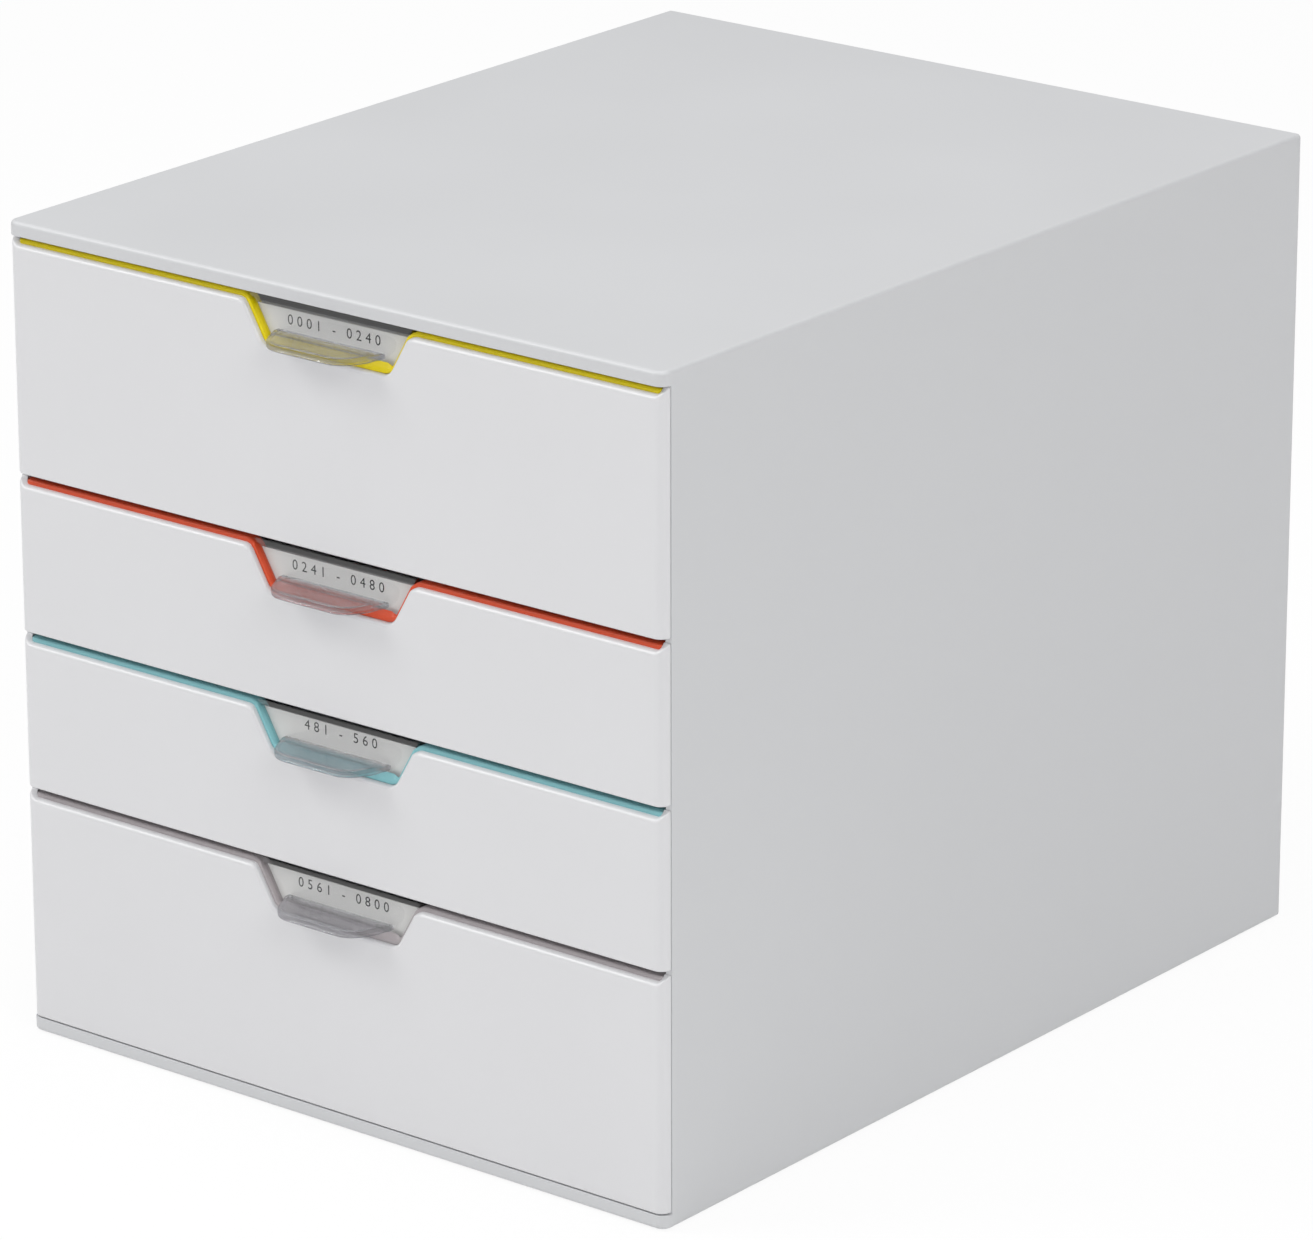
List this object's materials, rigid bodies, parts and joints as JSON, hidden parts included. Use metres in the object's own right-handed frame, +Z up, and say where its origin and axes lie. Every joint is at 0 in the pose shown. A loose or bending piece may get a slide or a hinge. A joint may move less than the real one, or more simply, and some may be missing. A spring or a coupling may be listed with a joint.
{
  "type": "plastic drawer tower",
  "caption": "Desktop drawer tower: moulded sleeve housing with runner panels and sliding trays whose covers have coloured trim and clear label grips.",
  "frame": {"origin": "Centre of the footprint, grips included, on the surface that the rubber feet stand on.", "axes": "+X to the right and +Z up, seen from the front. The drawers face -Y and pull out along -Y."},
  "size_m": [0.28, 0.3678, 0.292],
  "materials": {
    "housing_plastic": "satin",
    "runner_plastic": "matte",
    "foot_rubber": "matte",
    "tray_plastic": "satin",
    "cover_plastic": "satin",
    "trim_yellow": "satin",
    "trim_red": "satin",
    "trim_turquoise": "satin",
    "trim_grey": "satin",
    "clear_plastic": "polished",
    "label_card": "matte"
  },
  "bodies": {
    "housing": {"housing_shell": "housing_plastic", "rear_panel": "housing_plastic", "runner_left": "runner_plastic", "runner_right": "runner_plastic", "foot_front_left": "foot_rubber", "foot_front_right": "foot_rubber", "foot_rear_left": "foot_rubber", "foot_rear_right": "foot_rubber"},
    "drawer_1": {"drawer_1_tray": "tray_plastic", "drawer_1_cover": "cover_plastic", "drawer_1_accent": "trim_yellow", "drawer_1_handle": "clear_plastic", "drawer_1_label": "label_card"},
    "drawer_2": {"drawer_2_tray": "tray_plastic", "drawer_2_cover": "cover_plastic", "drawer_2_accent": "trim_red", "drawer_2_handle": "clear_plastic", "drawer_2_label": "label_card"},
    "drawer_3": {"drawer_3_tray": "tray_plastic", "drawer_3_cover": "cover_plastic", "drawer_3_accent": "trim_turquoise", "drawer_3_handle": "clear_plastic", "drawer_3_label": "label_card"},
    "drawer_4": {"drawer_4_tray": "tray_plastic", "drawer_4_cover": "cover_plastic", "drawer_4_accent": "trim_grey", "drawer_4_handle": "clear_plastic", "drawer_4_label": "label_card"}
  },
  "joints": [
    {"name": "drawer_1_slide", "type": "slide", "parent": "housing", "child": "drawer_1", "axis": [0, -1, 0], "range_m": [0, 0.25]},
    {"name": "drawer_2_slide", "type": "slide", "parent": "housing", "child": "drawer_2", "axis": [0, -1, 0], "range_m": [0, 0.25]},
    {"name": "drawer_3_slide", "type": "slide", "parent": "housing", "child": "drawer_3", "axis": [0, -1, 0], "range_m": [0, 0.25]},
    {"name": "drawer_4_slide", "type": "slide", "parent": "housing", "child": "drawer_4", "axis": [0, -1, 0], "range_m": [0, 0.25]}
  ]
}
